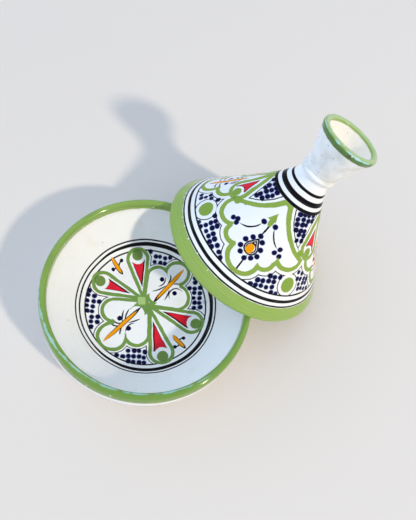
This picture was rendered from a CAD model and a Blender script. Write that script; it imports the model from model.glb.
# %% [markdown]
# # A painted tagine: a serving dish and its chimney lid
# The pot is two thrown pieces of glazed clay. The dish stands on the table, and the cone-shaped
# lid has been lifted off and leans on the dish's rim. Both are thrown on a wheel, dipped in white
# glaze and painted by hand in green, cobalt, black, orange and red. The packed CAD model gives the
# exact shape and place of both pieces. This script throws them again with a potter's small
# unevenness, and paints them.

# %% Start from the packed frame
import math

import bpy
from mathutils import Matrix, Vector, noise


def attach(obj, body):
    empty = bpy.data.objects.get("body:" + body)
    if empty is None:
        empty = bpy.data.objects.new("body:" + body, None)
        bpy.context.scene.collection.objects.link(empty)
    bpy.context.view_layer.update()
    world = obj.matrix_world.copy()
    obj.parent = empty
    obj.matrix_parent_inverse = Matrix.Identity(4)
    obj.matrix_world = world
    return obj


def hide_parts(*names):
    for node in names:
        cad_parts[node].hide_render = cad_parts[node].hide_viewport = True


MM = 0.001
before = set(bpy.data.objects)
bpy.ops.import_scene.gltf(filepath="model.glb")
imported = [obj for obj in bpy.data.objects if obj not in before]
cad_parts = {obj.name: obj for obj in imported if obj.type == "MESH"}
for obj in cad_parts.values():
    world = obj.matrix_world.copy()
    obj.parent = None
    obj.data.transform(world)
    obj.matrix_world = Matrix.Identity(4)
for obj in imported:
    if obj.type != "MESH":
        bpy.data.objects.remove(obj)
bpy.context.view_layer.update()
print("CAD nodes:", sorted(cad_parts))

# %% [markdown]
# ## Camera
# The camera looks down into the dish from a little to its left. A camera's matrix is easy to
# read: its columns are the camera's right, its up and the direction behind it. The lens is worked
# out from how wide the pot appears. A wide lens close by would make the near side bulge, so the
# distance matters as much as the lens. The view transform is Standard, so that a colour written
# here is the colour that shows.

# %% Camera
scene = bpy.context.scene
scene.view_settings.view_transform = "Standard"
cam_right = Vector((0.980, 0.0, 0.199)).normalized()
cam_back = Vector((-0.181, -0.415, 0.892))
cam_back = (cam_back - cam_back.dot(cam_right) * cam_right).normalized()
cam_up = cam_back.cross(cam_right)
cam_place = Vector((-0.0263, -0.1554, 0.4759))
LENS = 30.8
NEAREST = 0.01
camera = bpy.data.objects.new("camera", bpy.data.cameras.new("camera"))
cam_turn = Matrix((cam_right, cam_up, cam_back)).transposed()
camera.matrix_world = Matrix.Translation(cam_place) @ cam_turn.to_4x4()
camera.data.lens = LENS
camera.data.clip_start = NEAREST
scene.collection.objects.link(camera)
scene.camera = camera
print("camera is", round(cam_place.length, 3), "m from the middle of the dish")

# %% [markdown]
# ## Shader maths as plain Python
# A material is a network of nodes, and a sum such as `1 - mask` would need a Math node made and
# linked by hand. A small class wraps one output of a node and overloads Python's operators, so an
# expression on such readings adds the Math nodes itself.

# %% A reading that can be used in sums
class Reading:
    """One output of a node, as a number that can be used in sums."""

    def __init__(self, recipe, socket):
        self.recipe = recipe
        self.socket = socket

    def __add__(self, other):
        return self.recipe.maths("ADD", self, other)

    __radd__ = __add__

    def __mul__(self, other):
        return self.recipe.maths("MULTIPLY", self, other)

    __rmul__ = __mul__

    def __sub__(self, other):
        return self.recipe.maths("SUBTRACT", self, other)

    def __rsub__(self, other):
        return self.recipe.maths("SUBTRACT", other, self)

    def __truediv__(self, other):
        return self.recipe.maths("DIVIDE", self, other)

    def __rtruediv__(self, other):
        return self.recipe.maths("DIVIDE", other, self)

    def __abs__(self):
        return self.recipe.maths("ABSOLUTE", self)

    def __mod__(self, other):
        return self.recipe.maths("FLOORED_MODULO", self, other)

    def beside(self, output):
        """Another output of the same node."""
        return Reading(self.recipe, self.socket.node.outputs[output])

    def part(self, axis):
        return self.recipe.node("SeparateXYZ", {}, {0: self}, axis)


reflected = [name for name in vars(Reading) if name.startswith("__r")]
print("sums may start with a plain number, through", ", ".join(reflected))

# %% [markdown]
# The network of one material is its recipe. Every node in it comes from one method, which takes
# the node's type, its settings and what goes into its sockets. Colours and places have nodes of
# their own, because a Math node would turn a colour grey.

# %% A recipe of nodes
class Recipe:
    """The node network of a material, or of the world."""

    def __init__(self, owner):
        self.owner = owner
        owner.use_nodes = True
        self.tree = owner.node_tree
        self.tree.nodes.clear()

    def node(self, kind, settings, sockets, output=0):
        made = self.tree.nodes.new("ShaderNode" + kind)
        for name, value in settings.items():
            setattr(made, name, value)
        for name, value in sockets.items():
            if isinstance(value, Reading):
                self.tree.links.new(value.socket, made.inputs[name])
            else:
                made.inputs[name].default_value = value
        return Reading(self, made.outputs[output]) if made.outputs else made

    def maths(self, operation, *values, clamp=False):
        return self.node("Math", {"operation": operation, "use_clamp": clamp}, dict(enumerate(values)))

    def vector(self, operation, *values, output=0):
        return self.node("VectorMath", {"operation": operation}, dict(enumerate(values)), output)

    def place(self, x, y):
        return self.node("CombineXYZ", {}, {0: x, 1: y})

    def noise(self, vector, size, detail=2.0, output=0):
        """Noise whose lumps are about size across, in the vector's own unit."""
        return self.node("TexNoise", {}, {"Vector": vector, "Scale": 1 / size, "Detail": detail}, output)

    def mix(self, share, one, other):
        """A colour that goes from one to other as share goes from 0 to 1."""
        return self.node("Mix", {"data_type": "RGBA"}, {0: share, 6: one, 7: other}, 2)


print("a recipe makes", ", ".join(name for name in vars(Recipe) if not name.startswith("_")))

# %% [markdown]
# ## Table and light
# A plain pale floor stands for a table top and carries the object's shadow. It is matt paper with a
# faint grain, slightly warm, because the light that fills the shade is cool.

# %% Floor
PAPER_DARK = (0.79, 0.735, 0.68, 1)
PAPER_LIGHT = (0.805, 0.75, 0.695, 1)
FLOOR_HALF = 4.0
floor_mesh = bpy.data.meshes.new("floor")
around = ((-1, -1), (1, -1), (1, 1), (-1, 1))
floor_corners = [(x * FLOOR_HALF, y * FLOOR_HALF, 0) for x, y in around]
floor_mesh.from_pydata(floor_corners, [], [(0, 1, 2, 3)])
floor = bpy.data.objects.new("floor", floor_mesh)
scene.collection.objects.link(floor)

paper = Recipe(bpy.data.materials.new("floor_paper"))
paper_grain = paper.noise(paper.node("TexCoord", {}, {}, "Object"), 0.5)
paper_tone = paper.mix(paper_grain, PAPER_DARK, PAPER_LIGHT)
matt = {"Base Color": paper_tone, "Roughness": 0.9, "Specular IOR Level": 0.1}
paper_sheen = paper.node("BsdfPrincipled", {}, matt)
paper.node("OutputMaterial", {}, {"Surface": paper_sheen})
floor_mesh.materials.append(paper.owner)
print("the floor is", 2 * FLOOR_HALF, "m wide")

# %% [markdown]
# The light is a low sun in a clear sky, built as in a studio. The surroundings light the pot
# softly. They are cool, and stronger on the side away from the lamp, as a clear sky is. What the
# camera sees behind the pot, and what gloss mirrors, is a plain pale grey instead, and the light
# path node tells the two kinds of rays apart.

# %% Surroundings
BACKDROP = (0.79, 0.79, 0.79, 1)
SKY_NEAR_LAMP = (0.43, 0.43, 0.45, 1)
SKY_AWAY = (1.02, 1.3, 1.7, 1)
SKY_AWAY_FROM_LAMP = (-0.93, 0.33, 0.15)
scene.world = bpy.data.worlds.new("studio")
studio = Recipe(scene.world)
rays = studio.node("LightPath", {}, {}, "Is Camera Ray")
mirrored = studio.maths("MAXIMUM", rays.beside("Is Glossy Ray"), rays.beside("Is Transmission Ray"))
seen = studio.maths("MAXIMUM", rays, mirrored)
sky_way = studio.node("TexCoord", {}, {}, "Generated")
away = studio.vector("DOT_PRODUCT", sky_way, SKY_AWAY_FROM_LAMP, output=1)
away = studio.maths("MULTIPLY_ADD", away, 0.5, 0.5, clamp=True)
sky = studio.mix(away * away, SKY_NEAR_LAMP, SKY_AWAY)
surroundings = studio.node("Background", {}, {"Color": studio.mix(seen, sky, BACKDROP)})
studio.node("OutputWorld", {}, {"Surface": surroundings})
print("sky from", SKY_NEAR_LAMP[:3], "to", SKY_AWAY[:3])

# %% [markdown]
# One lamp six metres off, small for its distance, stands low on the right, so that the lid throws
# a fairly crisp shadow across the back of the dish. It is a little warm. Where it and the
# surroundings both reach, they add up to white.

# %% Lamp
LAMP_AZIMUTH = -41
LAMP_HEIGHT = 38.5
LAMP_REACH = 6.0
LAMP_SIZE = 0.4
LAMP_ENERGY = 186
LAMP_COLOUR = (1.0, 0.895, 0.72)
LAMP_AIM = Vector((0.05, 0.05, 0.05))
flat_way = Vector((math.cos(math.radians(LAMP_AZIMUTH)), math.sin(math.radians(LAMP_AZIMUTH)), 0))
lamp_way = flat_way * math.cos(math.radians(LAMP_HEIGHT))
lamp_way.z = math.sin(math.radians(LAMP_HEIGHT))
lamp_light = bpy.data.lights.new("soft_lamp", "AREA")
lamp_light.shape = "DISK"
lamp_light.size = LAMP_SIZE
lamp_light.energy = LAMP_ENERGY
lamp_light.color = LAMP_COLOUR
lamp = bpy.data.objects.new("soft_lamp", lamp_light)
lamp.location = LAMP_AIM + lamp_way * LAMP_REACH
lamp.rotation_euler = lamp_way.to_track_quat("Z", "Y").to_euler()
scene.collection.objects.link(lamp)
print("lamp at", tuple(round(c, 2) for c in lamp.location))

# %% [markdown]
# ## Throwing
# A thrown pot is one outline carried round the wheel's axis. Its outline is drawn here as points
# of (radius, height) in millimetres, with the same sizes as the CAD source, out of straight lines,
# arcs and simple bends. Blender's Screw modifier could turn it, but a potter's hands leave the
# clay slightly uneven, and the painting needs to know where it is on the pot. So the points are
# turned in code: each one moves a little into the clay by a smooth noise, and each corner of a
# face is given a map place, (turn round the wheel, millimetres along the outline).

# %% Arcs, bends and even steps
def arc(centre, radius, first, last, steps=14):
    turns = [math.radians(first + (last - first) * i / steps) for i in range(steps + 1)]
    return [(centre[0] + radius * math.cos(t), centre[1] + radius * math.sin(t)) for t in turns]


def bend(start, corner, end, steps=16):
    """A curve that leaves start towards corner and arrives at end from corner."""
    shares = [i / steps for i in range(steps + 1)]
    return [
        tuple((1 - t) ** 2 * a + 2 * t * (1 - t) * b + t * t * c for a, b, c in zip(start, corner, end))
        for t in shares
    ]


def beside(line, gap):
    """The line of points moved by gap to the right of its own direction."""
    moved = []
    for i, (r, z) in enumerate(line):
        before = line[max(i - 1, 0)]
        after = line[min(i + 1, len(line) - 1)]
        run = math.dist(before, after)
        moved.append((r + gap * (after[1] - before[1]) / run, z - gap * (after[0] - before[0]) / run))
    return moved


def in_steps(line, longest):
    """The same line with no step between its points longer than longest."""
    points = [line[0]]
    for here, there in zip(line, line[1:]):
        count = math.ceil(math.dist(here, there) / longest)
        if count == 0:
            continue
        for i in range(1, count + 1):
            points.append(tuple(a + (b - a) * i / count for a, b in zip(here, there)))
    return points


print("a quarter circle has", len(arc((0, 0), 1, 0, 90)), "points")

# %% Turn an outline on the wheel
WHEEL = "wheel"
TURNS = 320
WIDEST_R = 107
STEP = 1.9


def thrown_corners(points, along, hand):
    """Corners of a pot: one on the axis at either end, and a ring for each point between."""
    verts = [(0, 0, points[0][1])]
    for i in range(1, len(points) - 1):
        (r0, z0), (r1, z1) = points[i - 1], points[i + 1]
        run = math.dist((r0, z0), (r1, z1))
        out_r, out_z = (z1 - z0) / run, (r0 - r1) / run
        r, z = points[i]
        for k in range(TURNS):
            turn = 2 * math.pi * k / TURNS
            inset = hand(r, z, turn, along[i])
            here_r = r - inset * out_r
            verts.append((here_r * math.cos(turn), here_r * math.sin(turn), z - inset * out_z))
    verts.append((0, 0, points[-1][1]))
    return verts


def thrown_faces(along):
    """Faces between the rings, and the map place of each of their corners."""
    last = len(along) - 1
    rings = last - 1
    top = 1 + (rings - 1) * TURNS
    faces = []
    places = []
    for k in range(TURNS):
        near, far = k / TURNS, (k + 1) / TURNS
        nxt = (k + 1) % TURNS
        faces.append((0, 1 + nxt, 1 + k))
        places += [(near, along[0]), (far, along[1]), (near, along[1])]
        for i in range(1, rings):
            low, high = 1 + (i - 1) * TURNS, 1 + i * TURNS
            faces.append((low + k, low + nxt, high + nxt, high + k))
            places += [(near, along[i]), (far, along[i]), (far, along[i + 1]), (near, along[i + 1])]
        faces.append((top + k, top + nxt, top + TURNS))
        places += [(near, along[rings]), (far, along[rings]), (near, along[last])]
    return faces, places


print("rings of", TURNS, "corners, at most", STEP, "mm apart")

# %% [markdown]
# Throwing a pot then takes four steps: cut the outline into short steps, measure how far along it
# each of its points is, make the corners and faces, and store the map. A settling move, such as
# the lean of the lid, is applied last, to the mesh itself, so that the piece stays at the origin.

# %% Throw a pot
def throw(name, outline, map_start, hand, settle=None):
    """A closed pot from an outline that runs from the axis underneath to the axis on top.

    hand(r, z, turn, along) says how far, in millimetres, the clay lies inside the true outline."""
    points = in_steps(outline, STEP)
    along = [0.0]
    for here, there in zip(points, points[1:]):
        along.append(along[-1] + math.dist(here, there))
    zero = along[min(range(len(points)), key=lambda i: math.dist(points[i], map_start))]
    along = [a - zero for a in along]
    verts = thrown_corners(points, along, hand)
    faces, places = thrown_faces(along)
    mesh = bpy.data.meshes.new(name)
    mesh.from_pydata([tuple(c * MM for c in v) for v in verts], [], faces)
    wheel_map = mesh.uv_layers.new(name=WHEEL)
    wheel_map.uv.foreach_set("vector", [c for turn, mm in places for c in (turn, mm * MM)])
    if settle:
        mesh.transform(settle)
    mesh.shade_smooth()
    pot = bpy.data.objects.new(name, mesh)
    scene.collection.objects.link(pot)
    print(name, len(mesh.polygons), "faces, outline", round(along[-1] - along[0]), "mm long")
    return pot


print("corners in a ring are up to", round(2 * math.pi * WIDEST_R / TURNS, 1), "mm apart")

# %% [markdown]
# ## The potter's hand
# Fingers leave a shallow spiral inside a thrown wall, and the clay swells and dips a little as it
# is turned, cut off and dried. Both are fractions of a millimetre, but a glossy glaze shows them in
# its reflections. They only ever take clay away, so the two pieces cannot come to touch where the
# CAD model leaves its small gap between them.

# %% Lumps and finger marks
MIDDLING_R = 90


def lumps(turn, along, size, seed):
    """Smooth noise from 0 to 1 on the pot's surface, the same all the way round the wheel."""
    across = Vector((math.cos(turn), math.sin(turn), 0)) * (MIDDLING_R / size)
    return 0.5 + 0.5 * noise.noise(across + Vector((seed, -seed, along / size + seed)))


def fingers(turn, along, pitch):
    """A spiral groove from 0 to 1, one finger's width apart."""
    return 0.5 + 0.5 * math.cos(turn + 2 * math.pi * along / pitch)


def fade(value, start, end):
    """0 at start, 1 at end, smooth between them."""
    share = min(max((value - start) / (end - start), 0), 1)
    return share * share * (3 - 2 * share)


print("lumps at one place:", [round(lumps(1.0, 40, size, 3), 2) for size in (46, 13)])

# %% [markdown]
# ## The dish
# A thick-walled bowl with a rolled rim. Its flat floor turns up through a wide bend into a wall at
# 47 degrees, and the last of the wall stands upright, so that the lid's edge drops inside it.

# %% Inside of the dish
RIM_ROLL = 3.5
RIM_RING = (101.5, 58.0)
MOUTH_R = 98.0
WALL_SLOPE = math.radians(47)
BEND_R = 40.0
FLOOR_Z = 12.0
BAND = 8.0
way = (math.cos(WALL_SLOPE), math.sin(WALL_SLOPE))
wall_top = (MOUTH_R, RIM_RING[1] - BAND)
wall_run = (wall_top[1] - FLOOR_Z) / way[1]
wall_foot = (wall_top[0] - wall_run * way[0], FLOOR_Z)
bend_run = BEND_R * math.tan(WALL_SLOPE / 2)
floor_end = (wall_foot[0] - bend_run, FLOOR_Z)
wall_start = (wall_foot[0] + bend_run * way[0], FLOOR_Z + bend_run * way[1])
wall_end = (wall_top[0] - BAND / 2 * way[0], wall_top[1] - BAND / 2 * way[1])
inner_face = (
    [(0, FLOOR_Z)]
    + bend(floor_end, wall_foot, wall_start)
    + bend(wall_end, wall_top, (MOUTH_R, wall_top[1] + BAND / 2))
)
print("the wall runs", round(wall_run), "mm up from the floor")

# %% [markdown]
# Outside, the wall swells a little below the rim before it turns in to the foot. The foot is a
# ring that is cut with a tool when the clay is leather-hard, and it keeps the floor off the table.

# %% Outside and foot of the dish
BELLY = (107.3, 34.0)
SWELL_SHARE = 0.6
TURN_SHARE = 0.55
FOOT_R = 61.0
FOOT_HIGH = 4.5
FOOT_INNER = 53.0
FOOT_EDGE = 1.5
turn_in = (BELLY[0], BELLY[1] * TURN_SHARE)
turn_end = ((turn_in[0] + FOOT_R) / 2, (turn_in[1] + FOOT_HIGH) / 2)
swell_top = (BELLY[0], BELLY[1] + SWELL_SHARE * (RIM_RING[1] - BELLY[1]))
outer_face = bend(turn_end, turn_in, BELLY) + bend(BELLY, swell_top, (RIM_RING[0] + RIM_ROLL, RIM_RING[1]))
dish_outline = (
    [(0, FOOT_HIGH), (FOOT_INNER - FOOT_HIGH / 2, FOOT_HIGH), (FOOT_INNER, 0)]
    + arc((FOOT_R - FOOT_EDGE, FOOT_EDGE), FOOT_EDGE, -90, 0, 5)
    + outer_face
    + arc(RIM_RING, RIM_ROLL, 0, 180)
    + inner_face[::-1]
)
print("the dish is", round(2 * BELLY[0]), "mm across, on a foot of", round(2 * FOOT_R), "mm")

# %% [markdown]
# The clay is least even in the wide outside and the floor. The rim is steadied last, between two
# fingers, and the foot ring is cut true, so both move less.

# %% The dish under the hand
SWELL = 0.45
FINE_SWELL = 0.12
FINGER_DEEP = 0.16
FINGER_PITCH = 8.5
RIM_STEADY = 0.35


def dish_hand(r, z, turn, along):
    steady = fade(z, 0.5, 6)
    swell = SWELL * lumps(turn, along, 46, 3) + FINE_SWELL * lumps(turn, along, 13, 8)
    marks = FINGER_DEEP * fingers(turn, along, FINGER_PITCH)
    below_rim = fade(z, 56, 50)
    return steady * (swell * (RIM_STEADY + (1 - RIM_STEADY) * below_rim) + marks * below_rim)


print("the dish gives way by up to", round(SWELL + FINE_SWELL + FINGER_DEEP, 2), "mm")

# %% Throw the dish
dish = throw("dish_body", dish_outline, (RIM_RING[0], RIM_RING[1] + RIM_ROLL), dish_hand)
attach(dish, "dish")
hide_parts("dish")

# %% [markdown]
# ## The lid
# A hollow cone with a rounded edge, whose side sweeps up into a slim neck. Above the neck come a
# thrown bead and a flaring knob, open at the top like an egg cup, which stays cool enough to hold.
# It is thrown upright. Then it is leaned over as one piece: turned by the angle at which its near
# side lies on the dish's rim while its far edge stands on the table.

# %% Edge and cone
EDGE_R = 3.5
EDGE_RING = (93.8, 3.5)
NECK = (17.25, 121.0)
FLARE_CORNER = (17.25, 109.0)
FLARE = 70.0
corner_run = (FLARE_CORNER[0] - EDGE_RING[0], FLARE_CORNER[1] - EDGE_RING[1])
cone_turn = math.atan2(-corner_run[0], corner_run[1]) + math.asin(EDGE_R / math.hypot(*corner_run))
cone_way = (-math.sin(cone_turn), math.cos(cone_turn))
cone_foot = (EDGE_RING[0] + EDGE_R * math.cos(cone_turn), EDGE_RING[1] + EDGE_R * math.sin(cone_turn))
flare_start = (FLARE_CORNER[0] - FLARE * cone_way[0], FLARE_CORNER[1] - FLARE * cone_way[1])
cone_side = [cone_foot] + bend(flare_start, FLARE_CORNER, NECK, 24)
print("the cone leans", round(math.degrees(cone_turn)), "degrees from the wheel's axis")

# %% [markdown]
# The bead is a thrown ridge that stops the fingers above the neck. The knob flares from a small
# ledge on it to a rolled lip, and it is opened like a cup, as solid clay of that thickness would
# crack in the kiln.

# %% Bead and knob
BEAD_OUT = 2.3
BEAD_HIGH = 7.0
BEAD_PEAK = 0.62
KNOB_ROLL = 3.75
KNOB_RING = (27.75, 166.75)
KNOB_TURN = 20
KNOB_LEDGE = 0.7
KNOB_BOW = (0.3, 0.42)
CUP_Z = 136.5
CUP_R = 12.0
bead_out = (NECK[0] + 2 * BEAD_OUT, NECK[1] + BEAD_PEAK * BEAD_HIGH)
knob_foot = (NECK[0] + KNOB_LEDGE, NECK[1] + BEAD_HIGH)
knob_lip = (
    KNOB_RING[0] + KNOB_ROLL * math.cos(math.radians(KNOB_TURN)),
    KNOB_RING[1] - KNOB_ROLL * math.sin(math.radians(KNOB_TURN)),
)
knob_bow = (
    knob_foot[0] + KNOB_BOW[0] * (knob_lip[0] - knob_foot[0]),
    knob_foot[1] + KNOB_BOW[1] * (knob_lip[1] - knob_foot[1]),
)
knob_side = bend(NECK, bead_out, (NECK[0], NECK[1] + BEAD_HIGH)) + bend(knob_foot, knob_bow, knob_lip)
cup_face = bend((KNOB_RING[0] - KNOB_ROLL, KNOB_RING[1]), (CUP_R, CUP_Z), (0, CUP_Z), 24)
print("the knob is", round(2 * (KNOB_RING[0] + KNOB_ROLL)), "mm across")

# %% [markdown]
# Inside, the lid follows its outside at the thickness of the wall, up to a small dome below the
# neck. Steam condenses on this face and runs back down into the dish.

# %% Hollow of the lid, and its whole outline
LID_WALL = 6.5
CROWN_Z = 112.5
CROWN = 24.0
edge_start = math.degrees(cone_turn) - 180 - math.degrees(math.acos((LID_WALL - EDGE_R) / EDGE_R))
cavity_low = EDGE_RING[1] + EDGE_R * math.sin(math.radians(edge_start))
cavity_high = CROWN_Z - CROWN / 2
cavity_side = [p for p in beside(cone_side, -LID_WALL) if cavity_low < p[1] < cavity_high]
cavity_end = cavity_side[-1]
cavity = bend((0, CROWN_Z), (cavity_end[0] - CROWN / 4, CROWN_Z), cavity_end) + cavity_side[::-1]
lid_outline = (
    cavity
    + arc(EDGE_RING, EDGE_R, edge_start, math.degrees(cone_turn))
    + cone_side
    + knob_side
    + arc(KNOB_RING, KNOB_ROLL, -KNOB_TURN, 180)
    + cup_face
)
print("the wall is", LID_WALL, "mm thick up to", round(cavity_end[1]), "mm above the edge")

# %% [markdown]
# The edge of the lid has to meet the dish, so it is trimmed the truest. The knob is thrown last,
# out of what clay is left, and is the lumpiest part.

# %% The lid under the hand
EDGE_STEADY = 0.15
LID_SWELL = 0.4
LID_FINE_SWELL = 0.1
LID_FINGER_DEEP = 0.1
LID_FINGER_PITCH = 9.5
KNOB_SWELL = 0.5
KNOB_FINE_SWELL = 0.3


def lid_hand(r, z, turn, along):
    off_edge = fade(z, 4, 12)
    on_knob = fade(z, 122, 130)
    swell = LID_SWELL * lumps(turn, along, 50, 21) + LID_FINE_SWELL * lumps(turn, along, 12, 27)
    knob = KNOB_SWELL * lumps(turn, along, 22, 31) + KNOB_FINE_SWELL * lumps(turn, along, 9, 35)
    marks = LID_FINGER_DEEP * fingers(turn, along, LID_FINGER_PITCH)
    return (EDGE_STEADY + (1 - EDGE_STEADY) * off_edge) * swell + off_edge * marks + on_knob * knob


print("the knob gives way by up to", KNOB_SWELL + KNOB_FINE_SWELL, "mm more than the cone")

# %% Throw the lid and lean it on the rim
LEAN_ANGLE = math.radians(23.6749)
LEAN_AZIMUTH = math.radians(33.5)
LEAN_REACH = 128.2
lean = (
    Matrix.Rotation(LEAN_AZIMUTH, 4, "Z")
    @ Matrix.Translation((LEAN_REACH * MM, 0, (EDGE_R + EDGE_RING[0] * math.sin(LEAN_ANGLE)) * MM))
    @ Matrix.Rotation(LEAN_ANGLE, 4, "Y")
    @ Matrix.Translation((0, 0, -EDGE_R * MM))
)
lid = throw("lid_body", lid_outline, (EDGE_RING[0], 0), lid_hand, lean)
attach(lid, "lid")
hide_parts("lid")

# %% [markdown]
# ## Painting with distances
# The pot is painted freehand with a loaded brush, so every mark is a round dab, a straight pull or
# a single bend of the wrist. In a shader each such mark is a distance: how far, in millimetres, a
# place on the glaze lies outside the mark's edge. A distance below zero is inside. The outline of a
# shape is the same distance without its sign, less half the brush's width. The smaller of two
# distances joins two shapes, and the larger keeps what they share. Each function here makes a
# handful of nodes, so a whole flower is a few lines of code.

# %% Marks of the brush
CRISP = 0.3
SOFT = 0.5


def glaze(red, green, blue):
    """A colour given as it looks on a screen, from 0 to 255."""
    shares = [c / 255 for c in (red, green, blue)]
    return tuple(c / 12.92 if c < 0.04 else ((c + 0.055) / 1.055) ** 2.4 for c in shares) + (1,)


def covered(distance, soft=CRISP):
    """1 inside a mark and 0 outside, over an edge that is soft millimetres wide."""
    return distance.recipe.maths("MULTIPLY_ADD", distance, -1 / soft, 0.5, clamp=True)


print("a middle grey on the screen is", round(glaze(128, 128, 128)[0], 2), "of full light")

# %% [markdown]
# Most marks are simpler in a frame of their own: a long loop lies along its own axis, wherever it
# is on the pot. So a place is first seen from the mark's own origin and direction. A dab is a
# round spot there. A shape with straight sides is where all its sides agree, and the widest of the
# distances to them is its own.

# %% Places, dabs and straight sides
def lowest(*values):
    least = values[0]
    for value in values[1:]:
        least = least.recipe.maths("MINIMUM", least, value)
    return least


def highest(*values):
    most = values[0]
    for value in values[1:]:
        most = most.recipe.maths("MAXIMUM", most, value)
    return most


def local(p, origin, degrees):
    """The place p as seen from origin, with the first axis turned to the given direction."""
    sockets = {"Vector": p, "Location": (*origin, 0), "Rotation": (0, 0, math.radians(degrees))}
    return p.recipe.node("Mapping", {"vector_type": "TEXTURE"}, sockets)


def spot(p, centre, radius):
    return p.recipe.vector("DISTANCE", p, (*centre, 0), output=1) - radius


def spots(p, centres, radius):
    return lowest(*(spot(p, centre, 0) for centre in centres)) - radius


def oval(p, centre, half_x, half_y):
    q = local(p, centre, 0)
    q = p.recipe.vector("MULTIPLY", q, (1 / half_x, 1 / half_y, 0))
    return (p.recipe.vector("LENGTH", q, output=1) - 1) * min(half_x, half_y)


def side_of(p, start, end):
    """Distance to the right of the line from start to end."""
    run = math.dist(start, end)
    across = ((end[1] - start[1]) / run, (start[0] - end[0]) / run, 0)
    return p.recipe.vector("DOT_PRODUCT", p, across, output=1) - (across[0] * start[0] + across[1] * start[1])


def corners(p, *places):
    """A flat shape between places that follow each other counter-clockwise."""
    return highest(*(side_of(p, a, b) for a, b in zip(places, places[1:] + places[:1])))


print("brush edges are", CRISP, "to", SOFT, "mm soft")

# %% [markdown]
# A brush that is set down, pressed and lifted makes a mark with pointed ends. Straight, that is a
# pip or a stem, and bent round, it is a whisker. A drop is what a full brush leaves when it is
# pulled to a point: the loops, the petals and the flower's heart are all drops.

# %% Pulls, sweeps and drops
def pull(p, start, end, half_width):
    """A straight stroke that is pressed in the middle and lifted at both ends."""
    centre = ((start[0] + end[0]) / 2, (start[1] + end[1]) / 2)
    reach = math.dist(start, end) / 2
    q = local(p, centre, math.degrees(math.atan2(end[1] - start[1], end[0] - start[0])))
    u = q.part(0)
    press = p.recipe.maths("MULTIPLY_ADD", u * u * (u * u), -half_width / reach ** 4, half_width)
    return abs(q.part(1)) - press


def sweep(p, start, middle, end, half_width):
    """A stroke along the arc through three places, lifted at both ends."""
    (ax, ay), (bx, by), (cx, cy) = start, middle, end
    scale = 2 * (ax * (by - cy) + bx * (cy - ay) + cx * (ay - by))
    sa, sb, sc = ax * ax + ay * ay, bx * bx + by * by, cx * cx + cy * cy
    centre = (
        (sa * (by - cy) + sb * (cy - ay) + sc * (ay - by)) / scale,
        (sa * (cx - bx) + sb * (ax - cx) + sc * (bx - ax)) / scale,
    )
    reach = max(math.dist(middle, start), math.dist(middle, end))
    off = abs(spot(p, centre, math.dist(centre, start)))
    near = p.recipe.vector("DISTANCE", p, (*middle, 0), output=1) / reach
    return off - p.recipe.maths("MULTIPLY_ADD", near * near * near, -half_width, half_width)


def drop(q, length, radius):
    """A drop whose point is at the origin of q and whose round end is length along it."""
    u, v = q.part(0), abs(q.part(1))
    lean = math.asin(radius / length)
    side = v * math.cos(lean) - u * math.sin(lean)
    point = highest(side, 0 - u, u - length * math.cos(lean) ** 2)
    return lowest(point, spot(q, (length, 0), radius))


print("a drop twice as long as its radius opens by", round(2 * math.degrees(math.asin(1 / 2))), "degrees")

# %% [markdown]
# No hand is quite steady and no dab quite like the last. A slow noise shifts the places before
# they are measured, which bends every mark that lies there together. A cellular pattern strews dabs
# in loose rows, and gives the middle of each, so that a whole dab can be kept or left out.

# %% The unsteady hand
def outline(distance, half_width):
    return abs(distance) - half_width


def band(value, first, last):
    """Distance from a stripe between two values."""
    return abs(value - (first + last) / 2) - (last - first) / 2


def unsteady(p, where, amount, size):
    """The place p moved by a hand that wavers by up to amount over marks of the given size."""
    waver = p.recipe.noise(where, size, 1.0, output=1)
    moved = p.recipe.vector("MULTIPLY_ADD", waver, (2 * amount, 2 * amount, 0), p)
    return p.recipe.vector("SUBTRACT", moved, (amount, amount, 0))


def nicks(p, spacing, radius, share):
    """Small marks strewn at random: 1 inside them, and the middle of the nearest one."""
    distance, middle = dabs(p, spacing, 1.0, radius)
    chosen = p.recipe.node("TexWhiteNoise", {}, {"Vector": middle})
    return covered(distance) * p.recipe.maths("LESS_THAN", chosen, share), middle


def dabs(p, spacing, spread, radius):
    """Round dabs in loose rows: the distance from the nearest one, and that one's middle."""
    settings = {"voronoi_dimensions": "2D", "feature": "F1"}
    sockets = {"Vector": p, "Scale": 1 / spacing, "Randomness": spread}
    middle = p.recipe.node("TexVoronoi", settings, sockets, "Position")
    pressed = p.recipe.maths("MULTIPLY_ADD", middle.beside("Color").part(0), 0.5, radius - 0.25)
    return p.recipe.vector("DISTANCE", p, middle, output=1) - pressed, middle


marks_of_the_brush = (spot, oval, corners, pull, sweep, drop, dabs)
print("marks:", ", ".join(mark.__name__ for mark in marks_of_the_brush))

# %% [markdown]
# ## Painting the dish
# The floor carries a traditional pattern: four long loops and two scalloped petals in green that
# all start from the middle, and between them fields of blue dots. Red wedges fill the loops, and an
# orange pip with fine whiskers lies in each petal. Three black lines are drawn round the floor while
# the wheel turns, and the rim gets its green the same way. Each colour is laid over the one before:
# blue, black, red and orange, and green on top, which is thin enough to darken where it overlaps.
# A loop is a drop, and a petal is a few round lobes that drops join to the middle. So each shape is
# a short list of places, directions and sizes in millimetres, as a painter would pace them out.

# %% The pattern's green shapes
# each loop: its point, its direction in degrees, its length and the radius of its round end
LOOPS = [
    ((-4, 8), 101, 46.5, 11.0), ((-6, 8), 160.5, 44.0, 11.3),
    ((5, -1), -18.5, 47.0, 11.4), ((4, -4), -73, 48.3, 11.8),
]
# lobes of the petals: place and radius
PETAL_SPOTS = [
    (32.2, 39.7, 12.9), (22, 24, 15), (11, 13, 10.5),
    (-33.7, -35.5, 14.6), (-20, -18.5, 15.2), (-10, -9.5, 10),
]
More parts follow.
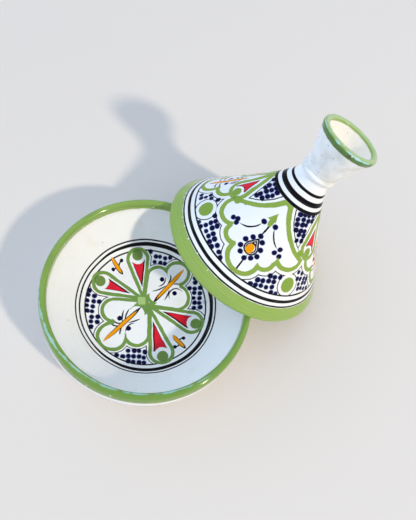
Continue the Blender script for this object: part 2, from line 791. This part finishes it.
# drops that join the lobes to the middle: point, round end and its radius
PETAL_DROPS = [
    ((-3, 8), (11.3, 34), 12.4), ((5, 0), (32, 11.5), 13.8),
    ((-6, 5), (-34.2, -7), 12.4), ((3, -5), (-8.6, -31.4), 12.8),
]
LINE_R = 64.4
FIELD_MARGIN = 3.8
LOOP_GAP_WAY = 132.5
LOOP_GAP_OPENS = 0.5


def petals(p):
    lobes = [spot(p, (x, y), r) for x, y, r in PETAL_SPOTS]
    for (x0, y0), (x1, y1), r in PETAL_DROPS:
        q = local(p, (x0, y0), math.degrees(math.atan2(y1 - y0, x1 - x0)))
        lobes.append(drop(q, math.dist((x0, y0), (x1, y1)), r))
    return lowest(*lobes)


def loops(p):
    return lowest(*(drop(local(p, start, lean), length, radius) for start, lean, length, radius in LOOPS))


def dot_field(p):
    """Distance outside the part of the floor that is filled with dots."""
    apart = lowest(petals(p), loops(p)) - FIELD_MARGIN
    q = local(p, (0, 0), LOOP_GAP_WAY)
    beside_loops = abs(q.part(1)) - LOOP_GAP_OPENS * abs(q.part(0))
    inside_line = LINE_R - p.recipe.vector("LENGTH", p, output=1)
    return 0 - lowest(apart, beside_loops, inside_line)


print(len(LOOPS), "loops and", len(PETAL_SPOTS) + len(PETAL_DROPS), "lobes and drops of petal")

# %% [markdown]
# ### White glaze and blue dots
# The pot is dipped in a white glaze, which breaks a little warmer where it lies thin. On it, each
# blue dot is one dab of cobalt from the tip of a round brush, and the blue bleeds slightly round
# its edge. The dots could be placed one by one. A cellular pattern gives every place the middle of
# its nearest dot in one node instead. Whether a dot is painted is decided at its middle, so no dot
# is cut through at the edge of its field.

# %% Blue dots
WHITE = glaze(250, 250, 248)
NAVY = glaze(6, 9, 56)
WASH = glaze(96, 112, 178)
BLACK = glaze(14, 12, 18)
RED = glaze(234, 38, 56)
ORANGE = glaze(252, 160, 10)
THIN_WHITE = glaze(245, 244, 243)
SMEAR = glaze(238, 226, 206)
DOT_SPACING = 5.7
DOT_SPREAD = 0.28
DOT_R = 2.3

paint = Recipe(bpy.data.materials.new("dish_glaze"))
object_mm = paint.vector("MULTIPLY", paint.node("TexCoord", {}, {}, "Object"), (1000, 1000, 1000))
flat = paint.vector("MULTIPLY", object_mm, (1, 1, 0))
wheel = paint.node("UVMap", {"uv_map": WHEEL}, {})
along = wheel.part(1) * 1000
out = paint.vector("LENGTH", flat, output=1)
p = unsteady(unsteady(flat, flat, amount=0.7, size=14), flat, amount=0.25, size=2.5)
press = paint.noise(flat, 9)
body_tone = paint.mix(paint.noise(object_mm, 30), WHITE, THIN_WHITE)
smears = paint.maths("MULTIPLY_ADD", paint.noise(object_mm, 16, 4), 5, -2.9, clamp=True)
body_tone = paint.mix(smears * 0.4, body_tone, SMEAR)
dab, dab_middle = dabs(p, DOT_SPACING, DOT_SPREAD, DOT_R)
in_field = covered(dot_field(dab_middle) + 0.9, 0.1)
colour = paint.mix(covered(dab - 0.35, 0.8) * in_field, body_tone, WASH)
colour = paint.mix(covered(dab, SOFT) * in_field, colour, NAVY)
print("a dot about every", DOT_SPACING, "mm")

# %% [markdown]
# ### Black lines and whiskers
# The three rings are drawn by holding a brush still while the wheel turns. The two outer ones grow
# thicker on one side, where the brush was pressed, and a brush that runs dry leaves fine streaks,
# which a noise drawn out along the ring gives. A thin line follows the edge of each field of dots.
# The whiskers are quick flicks, each a sweep through three places.

# %% Black lines
brush_dry = paint.noise(paint.vector("MULTIPLY", object_mm, (0.04, 0.04, 1.6)), 1, 3)
LINE_EDGE = 0.35
thick = paint.maths("ADD", abs(flat.part(1)) / 70, flat.part(0) / 90, clamp=True)
wander = paint.noise(paint.vector("MULTIPLY", flat, (0.02, 0.02, 0)), 1) * 1.6 + (out - 0.8)
lines = lowest(
    band(wander, LINE_R - 0.7, LINE_R + 0.8),
    abs(wander - 69.6 - 0.8 * thick) - 0.75 - 1.1 * thick,
    abs(wander - 73.3 - 0.9 * thick) - 0.65,
)
black = covered(lines, LINE_EDGE) * paint.maths("MULTIPLY_ADD", brush_dry, -0.9, 1.55, clamp=True)
field = dot_field(p)
black = highest(black, covered(outline(field, 0.45)) * covered(out - LINE_R))

WHISKERS = [
    ((19.5, 35), (17.5, 27.5), (11.5, 23)), ((24.5, 39), (24.8, 33), (22.5, 28.5)),
    ((20, 25), (13, 20), (7, 17.5)), ((24, 20.5), (22, 13.5), (19, 7.5)),
    ((25, 9), (27.2, 20.5), (36, 21)), ((29, 27), (32, 28), (35, 26)),
    ((-24.5, -20), (-25, -13), (-24, -7)), ((-22, -18), (-21, -11), (-18.5, -5)),
    ((-25, -21), (-31, -21), (-35, -17.5)), ((-27, -24), (-32, -24.3), (-36, -22)),
    ((-17.5, -20), (-12, -18), (-6, -15)), ((-20, -31.5), (-18.3, -24), (-12.5, -20.5)),
    ((-25, -27), (-26, -30), (-26, -34)),
    ((-31, 50), (-33, 46), (-33, 41)), ((-39, 39), (-36, 41), (-34, 42)),
    ((41, -34), (37, -36), (36, -39)), ((32, -44), (35, -43), (37, -41)),
]
WHISKER_HALF = 0.75
black = highest(black, covered(lowest(*(sweep(p, *marks, WHISKER_HALF) for marks in WHISKERS))))
colour = paint.mix(black, colour, BLACK)
whisker_dots = lowest(
    spots(p, [(-31, 50), (-39, 39), (41, -34), (32, -44)], 2.0),
    spots(p, [(15.5, 32), (30, 16.5), (-27.5, -16), (-17.5, -26.5)], 2.7),
)
colour = paint.mix(covered(whisker_dots, 0.4), colour, NAVY)
print(len(WHISKERS), "whiskers")

# %% [markdown]
# ### Red and orange
# A red wedge lies in each loop, with its point to the middle and its broad end hollowed to clear
# the disc. A black line along one side was drawn first and shows past the red. The pips are single
# pulls of orange over a slightly wider black one.

# %% Red wedges and orange pips
PIPS = [
    ((-42, 51.5), (-28, 34)), ((29.5, -31), (43.5, -46)),
    ((40, 46), (6, 3)), ((-42.5, -42.5), (-5.5, -1.5)),
]
PIP_HALF = 1.7
PIP_LINE_HALF = 2.4
RED_DEEP = glaze(216, 30, 50)
WEDGE_LEAN = math.atan2(6.3, 27.5)
WEDGE_BLACK_FROM = 13
WEDGE_RED_FROM = 17
WEDGE_TO = 45.5
HOLLOW_ON = 3.2
HOLLOW_R = 8.6


def opening(u, v, start):
    """Distance outside two lines that open from a point that lies start along u."""
    return abs(v) * math.cos(WEDGE_LEAN) - (u - start) * math.sin(WEDGE_LEAN)


red_tone = paint.mix(press, RED, RED_DEEP)
for start, degrees, length, radius in LOOPS:
    q = local(p, start, degrees)
    u, v = q.part(0), q.part(1)
    tail = highest(HOLLOW_R - spot(q, (length + HOLLOW_ON, 0), 0), u - WEDGE_TO)
    under = highest(opening(u, v + 0.45, WEDGE_BLACK_FROM), tail)
    colour = paint.mix(covered(under), colour, BLACK)
    over = highest(opening(u, v, WEDGE_RED_FROM), tail) + 0.2
    colour = paint.mix(covered(over), colour, red_tone)
for tip, base in PIPS:
    colour = paint.mix(covered(pull(p, tip, base, PIP_LINE_HALF)), colour, BLACK)
    body_end = tuple(b + (t - b) * 0.12 for t, b in zip(tip, base))
    colour = paint.mix(covered(pull(p, tip, body_end, PIP_HALF)), colour, ORANGE)
print(len(LOOPS), "wedges and", len(PIPS), "pips")

# %% [markdown]
# ### Green strokes
# The green is a copper glaze, put on last with a full brush. Its outline is the same distance as
# the shape's, without its sign, less half the brush's width, which swells and shrinks with the
# pressure. The hairs of the brush leave streaks that run along the stroke, so their noise is read
# across it. Where a disc crosses a stroke, two coats lie on each other and the green is darker.

# %% Green strokes
GREEN = glaze(120, 155, 74)
GREEN_LIGHT = glaze(134, 168, 84)
GREEN_DULL = glaze(106, 142, 70)
GREEN_DISC = glaze(112, 142, 72)
GREEN_DEEP = glaze(84, 118, 52)
GREEN_PALE = glaze(172, 200, 128)
HALF_BRUSH = 1.85
DISC_ON = 4.6
DISC_R = 5.9
outside_loops = loops(p)
pressed = press * 0.9 + (HALF_BRUSH - 0.45)
petal_line = highest(abs(petals(p)) - pressed, 0 - outside_loops)
hairs = paint.noise(paint.node("CombineXYZ", {}, {0: petal_line, 1: out * 0.06, 2: outside_loops}), 0.9, 2)
green_tone = paint.mix(hairs, GREEN, GREEN_LIGHT)
green_tone = paint.mix(paint.noise(flat, 26), green_tone, GREEN_DULL)
colour = paint.mix(covered(petal_line, LINE_EDGE), colour, green_tone)
for start, degrees, length, radius in LOOPS:
    q = local(p, start, degrees)
    stroke = covered(abs(drop(q, length, radius)) - pressed, LINE_EDGE)
    colour = paint.mix(stroke, colour, green_tone)
    disc = covered(spot(q, (length + DISC_ON, 0), DISC_R), SOFT)
    colour = paint.mix(disc, colour, paint.mix(stroke, GREEN_DISC, GREEN_DEEP))
knot = lowest(spot(p, (-4, 5), 6.0), spot(p, (2.5, -1), 4.5))
colour = paint.mix(covered(knot, SOFT), colour, green_tone)
square = corners(local(p, (-5.8, 5.2), 4), (-3.9, -4.2), (3.9, -4.2), (3.9, 4.2), (-3.9, 4.2))
colour = paint.mix(covered(square, 0.8), colour, GREEN_PALE)
print("the brush is", 2 * HALF_BRUSH, "mm wide")

# %% [markdown]
# ### Green rim
# The rim is banded on the wheel with the same glaze, and it shows every way in which a glaze
# moves: fine streaks round the wheel, a deeper green on the side where it ran thicker, a yellower
# one where it sank towards the inside, and a thin bluish skin on the crest. The skin lies outside
# the crest on one side and inside it on the other. Below the rim runs one thin dark line.

# %% Green rim
RIM_GREEN = glaze(142, 174, 84)
RIM_DEEP = glaze(96, 136, 58)
RIM_WARM = glaze(150, 182, 84)
RIM_THICK = glaze(104, 144, 52)
RIM_THIN = glaze(172, 188, 132)
RIM_SUNK = glaze(158, 186, 62)
GLAZE_SKIN = glaze(176, 226, 232)
RIM_BAND = (-15.5, 11.5)
RIM_EDGE = 0.9
UNDER_LINE = (-30, -27.4)
UNDER_LINE_COLOUR = glaze(44, 36, 38)
rim_hairs = paint.noise(paint.vector("MULTIPLY", object_mm, (0.03, 0.03, 1.4)), 1, 4)
rim_edge = paint.noise(object_mm, 7) * 1.6 - 0.8 + along
rim = band(rim_edge, *RIM_BAND)
streaks = paint.maths("MULTIPLY_ADD", rim_hairs, 2.6, -0.8, clamp=True)
rim_tone = paint.mix(streaks, RIM_GREEN, RIM_DEEP)
rim_tone = paint.mix(paint.noise(flat, 40) * 0.7, rim_tone, RIM_WARM)
thicker = paint.maths("MULTIPLY_ADD", flat.part(1), -1 / 160, 0.15, clamp=True)
rim_tone = paint.mix(thicker * 0.9, rim_tone, RIM_THICK)
thin_glaze = covered(band(rim_edge, -15.5, -13) + rim_hairs * 4 - 2, 1.5)
rim_tone = paint.mix(thin_glaze * 0.5, rim_tone, RIM_THIN)
pooled = paint.noise(object_mm, 9, 3) * 6 - 2.8
ran = paint.maths("MULTIPLY_ADD", flat.part(1), 0.065, 4.2)
crest = covered(band(along + ran, -0.9, 0.9) + pooled, 0.8) * covered(flat.part(0) - 50, 40)
rim_tone = paint.mix(crest * 0.6, rim_tone, GLAZE_SKIN)
sunk_glaze = covered(band(rim_edge, 9, 12) + rim_hairs * 2 - 0.5, 1.5)
rim_tone = paint.mix(sunk_glaze * 0.6, rim_tone, RIM_SUNK)
colour = paint.mix(covered(rim, RIM_EDGE), colour, rim_tone)
colour = paint.mix(covered(band(rim_edge, *UNDER_LINE), SOFT), colour, UNDER_LINE_COLOUR)
print("rim green over", RIM_BAND[1] - RIM_BAND[0], "mm of the outline")

# %% [markdown]
# ### Foot, flaws and gloss
# The foot ring is wiped clean before firing, or it would stick to the kiln shelf, so bare clay
# shows there. Pinholes and a few chips on the rim are dabs strewn at random. The painted glazes
# stand up a little from the white, which a fine bump shows. The white glaze is glossy, and the
# rim has a clear coat on top, because it is the one place that mirrors the lamp. The coat is thin
# on the outside, where the glaze ran down.

# %% Bare clay of the foot, and the finished dish
CLAY = glaze(196, 140, 104)
CHIP = glaze(240, 240, 228)
PINHOLE = glaze(120, 84, 60)
RIM_ROUND = 660
CHIPPED_AT = 9
CHIPPED_HALF = 2.2
BARE_TO = 4.9
BARE_WITHIN = 66
GLAZE_ROUGH = 0.16
GLAZE_MIRROR = 0.08
COAT_ROUGH = 0.06
COAT_FULL = 0.7
COAT_THIN = 0.15
COAT_ENDS = -5
RELIEF = 0.15
RELIEF_SHARE = 0.6


def fired(paint, colour, coat, roughness, relief):
    """The material of a painted and fired glaze. relief of 1 stands RELIEF millimetres up."""
    bump = {"Height": relief, "Distance": RELIEF * MM, "Strength": RELIEF_SHARE}
    looks = {
        "Base Color": colour,
        "Specular IOR Level": GLAZE_MIRROR,
        "Coat Weight": coat,
        "Coat Roughness": COAT_ROUGH,
        "Roughness": roughness,
        "Normal": paint.node("Bump", {}, bump),
    }
    paint.node("OutputMaterial", {}, {"Surface": paint.node("BsdfPrincipled", {}, looks)})
    return paint.owner


speck, _ = nicks(flat, spacing=24, radius=0.2, share=0.45)
colour = paint.mix(speck, colour, PINHOLE)
round_rim = paint.place(wheel.part(0) * RIM_ROUND, along)
chip, chip_middle = nicks(round_rim, spacing=13, radius=0.85, share=0.6)
chip = chip * covered(abs(abs(chip_middle.part(1)) - CHIPPED_AT) - CHIPPED_HALF, 0.1)
colour = paint.mix(chip, colour, CHIP)
foot = covered(object_mm.part(2) - BARE_TO - 0.8 * press, SOFT) * covered(out - BARE_WITHIN, 1)
colour = paint.mix(foot, colour, CLAY)
relief = covered(petal_line, 0.8) * 0.5 + covered(rim, 1.2) * (0.6 + 0.9 * rim_hairs)
relief = relief + 0.4 * covered(dab, 1) * in_field
on_top = covered(COAT_ENDS - along, 3)
coat = covered(rim, 1) * (on_top * (COAT_FULL - COAT_THIN) + COAT_THIN)
roughness = paint.maths("MULTIPLY_ADD", foot, 0.65, GLAZE_ROUGH)
dish.data.materials.append(fired(paint, colour, coat, roughness, relief))
print("dish painted with", len(paint.tree.nodes), "nodes")

# %% [markdown]
# ## Painting the lid
# A cone can be cut along its side and laid flat as a fan, and on that fan a painted circle is a
# circle. So each place on the lid is given its fan place: its distance from the cone's tip and its
# angle, squeezed by how steep the cone is. The pattern repeats after half a turn. One frame of
# places is centred on a disc, and turning that frame about the tip of the fan gives the places of
# the flower and of the petal.

# %% Places on the fan
TIP = 160.0
SQUEEZE = 0.609
FLOWER_AT = 19.0
DISC_AT = 49.5
PETAL_AT = (86.0, 94.0)


def turned(p, degrees):
    sockets = {"Vector": p, "Center": (0, TIP, 0), "Angle": degrees * math.pi / 180}
    return p.recipe.node("VectorRotate", {"rotation_type": "Z_AXIS"}, sockets)


def flower_place(p, hand):
    return p.recipe.vector("MULTIPLY", turned(p, SQUEEZE * DISC_AT), p.recipe.place(hand, 1))


def petal_place(p, hand):
    middle = (PETAL_AT[0] + PETAL_AT[1]) / 2 - DISC_AT
    petal = turned(p, (hand * ((PETAL_AT[0] - PETAL_AT[1]) / 2) - middle) * SQUEEZE)
    return p.recipe.vector("ABSOLUTE", petal)


print("the pattern repeats after", round(180 * SQUEEZE), "degrees of the fan")

# %% [markdown]
# Each half of the pattern has a scalloped frame with a flower, two loops with a petal between
# them, and a green disc on either side among the dots. The frame is made of round lobes, as the
# dish's petals are, and two wide circles hollow its sides.

# %% Frame, loop, petal and fields of the lid
# scallops of the frame round the flower, the circles that fill its middle, and its hollow sides
FRAME = [
    (3.5, 52.5, 15.8), (-17, 63.5, 9.3), (20.5, 63.5, 9),
    (-33, 79, 13.3), (36.5, 85, 15.5), (0, 88, 30),
]
FRAME_CORE = [(-10, 73, 17.5), (-2, 64, 13.5), (8, 64, 13), (12, 73, 18.5), (-20, 82, 14)]
FRAME_SIDES = [(-49, 141, 52), (51, 142, 54)]
# the loop's point, its round end and that end's radius
LID_LOOP = ((2.8, 119), (18.6, 86), 11.2)
PETAL_LOBES = [(13, 70, 12), (0, 49.5, 14.5), (0, 62, 13.2)]
PETAL_TIP = (0, 119)
PETAL_LONG = 49
PETAL_WIDE = 12
BALL = (22, 82.5)
DISC = (1, 45.5)
HALO = 12.3
FIELD_LOW, FIELD_HIGH = 34.2, 119.0
LOWER_FIELDS = 86.0
LID_MARGIN = 5.1


def flower_frame(p):
    lobes = lowest(*(spot(p, (x, y), r) for x, y, r in FRAME + FRAME_CORE))
    return highest(lobes, *(0 - spot(p, (x, y), r) for x, y, r in FRAME_SIDES))


def lid_loop(p):
    (x0, y0), (x1, y1), radius = LID_LOOP
    degrees = math.degrees(math.atan2(y1 - y0, x1 - x0))
    return drop(local(p, (x0, y0), degrees), math.dist((x0, y0), (x1, y1)), radius)


def lid_petal(p):
    lobes = lowest(*(spot(p, (x, y), r) for x, y, r in PETAL_LOBES))
    return lowest(lobes, drop(local(p, PETAL_TIP, -90), PETAL_LONG, PETAL_WIDE))


def lid_field(p, hand):
    """Distance outside the part of the cone that is filled with dots."""
    petal = petal_place(p, hand)
    from_tip = spot(p, (0, TIP), 0)
    margin = p.recipe.maths("GREATER_THAN", from_tip, LOWER_FIELDS) * 0.9 + LID_MARGIN
    apart = lowest(flower_frame(flower_place(p, hand)), lid_petal(petal), lid_loop(petal)) - margin
    inside = 0 - band(from_tip, TIP - FIELD_HIGH, TIP - FIELD_LOW)
    return 0 - lowest(apart, spot(p, DISC, HALO), inside)


print("dots lie from", FIELD_LOW, "to", FIELD_HIGH, "mm up the side")

# %% [markdown]
# ### Blue dots on the cone
# The readings come first: how far round the wheel and how far up the side a place is, then its
# place on the fan. The dots are dabbed as on the dish. Those of the lower fields stand a little
# wider apart than those under the neck, as the painter had more room there.

# %% Blue dots on the cone
LID_DOT_SPACING = 5.1
LOWER_WIDER = 0.7
LID_DOT_R = 2.4
LID_THIN_WHITE = glaze(243, 243, 243)
paint = Recipe(bpy.data.materials.new("lid_glaze"))
object_mm = paint.vector("MULTIPLY", paint.node("TexCoord", {}, {}, "Object"), (1000, 1000, 1000))
wheel = paint.node("UVMap", {"uv_map": WHEEL}, {})
along = wheel.part(1) * 1000
turn = (wheel.part(0) * 360 + (90 - FLOWER_AT)) % 180 - 90
hand = paint.maths("SIGN", turn)
angle = (abs(turn) - DISC_AT) * (SQUEEZE * math.pi / 180)
from_tip = TIP - along
fan = paint.place(from_tip * paint.maths("SINE", angle), TIP - from_tip * paint.maths("COSINE", angle))
p = unsteady(unsteady(fan, object_mm, amount=0.8, size=16), object_mm, amount=0.25, size=2.5)
press = paint.noise(object_mm, 9)
body_tone = paint.mix(paint.noise(object_mm, 30), WHITE, LID_THIN_WHITE)
lower = paint.maths("GREATER_THAN", from_tip, LOWER_FIELDS)
dab, dab_middle = dabs(p, lower * LOWER_WIDER + LID_DOT_SPACING, DOT_SPREAD, LID_DOT_R)
on_cone = covered(band(along, FIELD_LOW, FIELD_HIGH), SOFT)
in_field = covered(lid_field(dab_middle, hand) + 0.7, 0.1) * on_cone
colour = paint.mix(covered(dab - 0.35, 0.8) * in_field, body_tone, WASH)
colour = paint.mix(covered(dab, SOFT) * in_field, colour, NAVY)
print("dots of the lid stand", LID_DOT_SPACING, "to", LID_DOT_SPACING + LOWER_WIDER, "mm apart")

# %% [markdown]
# ### Black lines on the lid
# Three lines run round the cone above the green edge and three round the neck, all drawn with the
# wheel turning, so they are bands of the distance along the outline. A slow noise lets them wander.

# %% Black lines round the cone and the neck
BANDS = [(20.3, 22.0), (25.3, 28.7), (32.9, 34.5), (119.0, 122.4), (126.2, 131.4), (136.3, 139.2)]
along_wander = paint.noise(object_mm, 24, 1) * 0.9 + (along - 0.45)
slow = paint.noise(object_mm, 30) * 2
brush_dry = paint.noise(paint.place(along * 1.5, slow), 1, 3)
lines = lowest(*(band(along_wander, first, last) for first, last in BANDS))
black = covered(lines, LINE_EDGE) * paint.maths("MULTIPLY_ADD", brush_dry, -0.9, 1.55, clamp=True)
field = lid_field(p, hand)
black = highest(black, covered(outline(field, 0.5)) * on_cone)
print("the thickest line is", round(max(b - a for a, b in BANDS), 1), "mm wide")

# %% [markdown]
# ### Flower and petal
# The flower is a ring of blue dots round an orange heart, with a stem on either side and two bent
# sprigs that end in dots. The petal carries a long orange pip with whiskers, and each of its loops
# holds a red wedge. Both are drawn in their own frame of places, in which they stand upright, so
# the same few strokes serve every repeat round the lid.

# %% The flower
flower = flower_place(p, hand)
FLOWER_DOTS = [
    (-3, 72.3), (1.7, 77.8), (6.7, 74.4), (10.4, 68), (12, 61.4),
    (8.8, 56.3), (4, 52.2), (-2.6, 54.2), (-6.5, 59), (-7, 66.3),
]
SPRIG_DOTS = [
    (-5.2, 90.3), (-29.5, 73.7), (-25, 75.5), (-23.7, 71.8),
    (5.7, 94), (23.8, 81.3), (21.8, 75.6), (28, 75.6),
]
SPRIGS = [((-5.5, 88), (-11, 78), (-21.5, 73.7)), ((6.5, 91.5), (12, 84.5), (21, 80))]
STEMS = [((1, 98), (1.5, 78)), ((4.3, 57), (6.4, 33))]
SPRIG_HALF = 0.8
STEM_HALF = 0.85
HEART = (2.2, 62.5)
heart = drop(local(flower, (2.5, 74), -90), 10.5, 6)
marks = lowest(outline(heart - 0.3, 0.8), outline(heart + 1.5, 0.6))
marks = lowest(marks, *(sweep(flower, *places, SPRIG_HALF) for places in SPRIGS))
marks = lowest(marks, *(pull(flower, *ends, STEM_HALF) for ends in STEMS))
print(len(FLOWER_DOTS), "dots round the heart")

# %% The petal between its loops
petal = petal_place(p, hand)
PETAL_WHISKERS = [
    ((3, 80), (6.5, 76.5), (8, 70)), ((2.5, 75), (5.5, 72.5), (6.5, 68)),
    ((2.5, 58), (8, 57.5), (12.5, 61)), ((2.5, 54), (7, 52), (11, 53)), ((3, 63), (4.5, 63.5), (6, 64.5)),
]
marks = lowest(marks, *(sweep(petal, *places, SPRIG_HALF) for places in PETAL_WHISKERS))
black = highest(black, covered(marks) * on_cone)
wedge = corners(petal, (9.3, 103.5), (13.3, 80), (23.5, 91.5))
wedge = highest(wedge, 8.2 - spot(petal, BALL, 0))
black = highest(black, covered(wedge - 0.5) * on_cone)
colour = paint.mix(black, colour, BLACK)
blue_dots = lowest(spots(flower, FLOWER_DOTS + SPRIG_DOTS, 2.45), spot(petal, (6.3, 65), 2.3))
colour = paint.mix(covered(blue_dots - 0.3, 0.6) * on_cone, colour, WASH)
colour = paint.mix(covered(blue_dots, 0.4) * on_cone, colour, NAVY)
colour = paint.mix(covered(wedge + 0.3) * on_cone, colour, RED)
colour = paint.mix(covered(oval(flower, HEART, 3.6, 5), 0.4), colour, ORANGE)
pip = pull(petal, (0, 89), (0, 41), 2.4)
colour = paint.mix(covered(pip) * on_cone, colour, BLACK)
colour = paint.mix(covered(pip + 0.5) * on_cone, colour, ORANGE)
print(len(PETAL_WHISKERS), "whiskers in each half petal")

# %% [markdown]
# ### Green strokes on the lid
# As on the dish, green is laid over the rest: the scalloped frames, the petals and their loops,
# the discs with their white halo, and the leaf that the flower's stem ends in. Where a petal's
# stroke crosses a frame, the two coats show darker.

# %% Green strokes on the cone
LID_GREEN = glaze(152, 179, 79)
LID_DEEP = glaze(122, 152, 62)
LID_GREEN_DULL = glaze(140, 168, 72)
LID_GREEN_COOL = glaze(140, 166, 76)
LID_DISC_GREEN = glaze(132, 164, 66)
pressed = press * 0.9 + HALF_BRUSH
loop_edge = lid_loop(petal)
frame_line = abs(flower_frame(flower)) - pressed
petal_line = highest(abs(lid_petal(petal)) - pressed, 0 - loop_edge)
loop_line = abs(loop_edge) - pressed
hairs = paint.noise(paint.node("CombineXYZ", {}, {0: frame_line, 1: petal_line, 2: loop_line}), 0.9, 2)
green_tone = paint.mix(hairs, LID_GREEN, LID_GREEN_DULL)
green_tone = paint.mix(paint.noise(object_mm, 26), green_tone, LID_GREEN_COOL)
frame_here = covered(frame_line, LINE_EDGE) * on_cone
colour = paint.mix(frame_here, colour, green_tone)
petal_here = covered(lowest(petal_line, loop_line), LINE_EDGE) * on_cone
colour = paint.mix(petal_here, colour, paint.mix(frame_here, green_tone, LID_DEEP))
leaf = corners(flower, (-0.5, 105.5), (-5.2, 95.2), (3.6, 96.6))
leaf = lowest(leaf, pull(flower, (-0.6, 101), (0.4, 89.5), 2.6))
disc = lowest(spot(petal, BALL, 5), spot(petal, (32.5, 86), 4), leaf, oval(p, DISC, 8, 8.2))
disc_tone = paint.mix(hairs, green_tone, LID_DISC_GREEN)
colour = paint.mix(covered(disc, SOFT) * on_cone, colour, disc_tone)
print(2 * len(FRAME), "scallops round the lid's two frames")

# %% [markdown]
# ### Green edge and knob
# The edge of the lid and the lip of the knob are banded green on the wheel. On the knob the colour
# changes over a few millimetres: deep on the side, pale on top, and a thin bluish skin on the crest
# between them, broken where the glaze pooled.

# %% Green edge and lip
LIP_PALE = glaze(166, 193, 92)
LIP_DEEP = glaze(126, 160, 68)
LIP_DULL = glaze(150, 178, 92)
EDGE_BAND = (-9, 20)


def mm_along(line, start, end):
    """Length of an outline between the points nearest to two places."""
    first, last = (
        min(range(len(line)), key=lambda i: math.dist(line[i], place)) for place in (start, end)
    )
    return sum(math.dist(a, b) for a, b in zip(line[first:last], line[first + 1:last + 1]))


knob_outside = mm_along(lid_outline, (EDGE_RING[0], 0), knob_lip)
knob_inside = mm_along(lid_outline, (EDGE_RING[0], 0), (KNOB_RING[0] - KNOB_ROLL, KNOB_RING[1]))
edge_wander = paint.noise(object_mm, 7) * 1.4 + (along - 0.7)
rims = lowest(band(edge_wander, *EDGE_BAND), band(edge_wander, knob_outside - 3, knob_inside + 0.3))
rim_hairs = paint.noise(paint.place(along * 1.2, slow), 1, 4)
streaks = paint.maths("MULTIPLY_ADD", rim_hairs, 2.6, -0.8, clamp=True)
rim_tone = paint.mix(streaks, LIP_PALE, LIP_DEEP)
rim_tone = paint.mix(paint.noise(object_mm, 30) * 0.7, rim_tone, LIP_DULL)
print("knob's green from", round(knob_outside), "to", round(knob_inside), "mm along")

# %% Shades of green on the knob
KNOB_SIDE_GREEN = glaze(76, 116, 58)
KNOB_TOP_GREEN = glaze(182, 208, 158)
KNOB_ROUND = 2 * math.pi * knob_lip[0]
pooled = paint.noise(object_mm, 9, 3) * 6 - 2.8
edge_crest = covered(band(along, -1.6, 0.2) + pooled, 0.8)
rim_tone = paint.mix(edge_crest * 0.6, rim_tone, GLAZE_SKIN)
streaky = rim_hairs * 3 - 1.5
knob_side = covered(band(along, knob_outside - 4, knob_outside + 2.9) + streaky, 1.5)
rim_tone = paint.mix(knob_side * 0.85, rim_tone, KNOB_SIDE_GREEN)
knob_top = covered(band(along, knob_outside + 4.4, knob_inside - 2) + streaky * 2, 2)
rim_tone = paint.mix(knob_top * 0.75, rim_tone, KNOB_TOP_GREEN)
knob_crest = covered(band(along, knob_outside + 2.9, knob_outside + 3.7) + pooled, 0.8)
rim_tone = paint.mix(knob_crest * 0.8, rim_tone, GLAZE_SKIN)
rims_here = covered(rims, RIM_EDGE)
colour = paint.mix(rims_here, colour, rim_tone)
print("the lip is", round(KNOB_ROUND), "mm round")

# %% [markdown]
# ### Hollow, flaws and gloss of the lid
# The knob is hollow, and the glaze inside it is a creamier white. Its outside is handled the most:
# it is smudged grey and pinholed, and one knock on the lip went through the green. Small chips are
# strewn along the edge and the lip. The gloss is the dish's, and only the green has the clear coat.

# %% Hollow, smudges and the knock
KNOB_FROM = 150
KNOCK_AT = 214 / 360
HOLLOW_WHITE = glaze(250, 245, 236)
SMUDGE = glaze(222, 221, 214)
KNOB_PINHOLE = glaze(90, 70, 62)
KNOCK = glaze(92, 80, 56)
LID_ROUND = 590
round_lid = wheel.part(0) * LID_ROUND
round_knob = paint.place(wheel.part(0) * KNOB_ROUND, along)
on_knob = covered(KNOB_FROM - along, 1)
in_hollow = covered(knob_inside - along, 1) * (1 - rims_here)
colour = paint.mix(in_hollow, colour, HOLLOW_WHITE)
smudge = paint.maths("MULTIPLY_ADD", paint.noise(object_mm, 14, 4), 3, -1.2, clamp=True)
smudge = smudge * on_knob * covered(along - knob_outside + 3, 1)
colour = paint.mix(smudge, colour, SMUDGE)
speck, _ = nicks(paint.place(round_lid * 0.3, along), spacing=10, radius=0.35, share=0.4)
colour = paint.mix(speck * on_knob, colour, KNOB_PINHOLE)
knock = spot(round_knob, (KNOCK_AT * KNOB_ROUND, knob_outside + 0.5), 2)
colour = paint.mix(covered(knock + rim_hairs * 2 - 1, 1.5) * 0.8, colour, KNOCK)
print("knocked", round(KNOCK_AT * 360), "degrees round the knob")

# %% Chips, relief and the finished lid
EDGE_MIDDLE = 10
EDGE_CHIPPED_AT = 8.5
chip, chip_middle = nicks(paint.place(round_lid, along), spacing=12, radius=0.8, share=0.6)
from_middle = abs(chip_middle.part(1) - EDGE_MIDDLE)
chip = chip * covered(abs(from_middle - EDGE_CHIPPED_AT) - CHIPPED_HALF, 0.1)
knob_chip, chip_middle = nicks(round_knob, spacing=6, radius=0.6, share=0.5)
on_lip = covered(band(chip_middle.part(1), knob_outside + 2, knob_outside + 7), 0.1)
colour = paint.mix(highest(chip, knob_chip * on_lip), colour, CHIP)
relief = covered(lowest(frame_line, petal_line, loop_line), 0.8) * on_cone * 0.5
relief = relief + covered(rims, 1.2) * (0.6 + 0.9 * rim_hairs)
relief = relief + 0.4 * covered(dab, 1) * in_field
coat = covered(rims, 1) * COAT_FULL
lid.data.materials.append(fired(paint, colour, coat, GLAZE_ROUGH, relief))
print("lid painted with", len(paint.tree.nodes), "nodes")

# %% [markdown]
# ## Measure and finish
# The thrown pieces may not stand out from the CAD model, so the box around everything is measured
# again and written down beside the CAD's. The last line checks that each piece rides on its body.
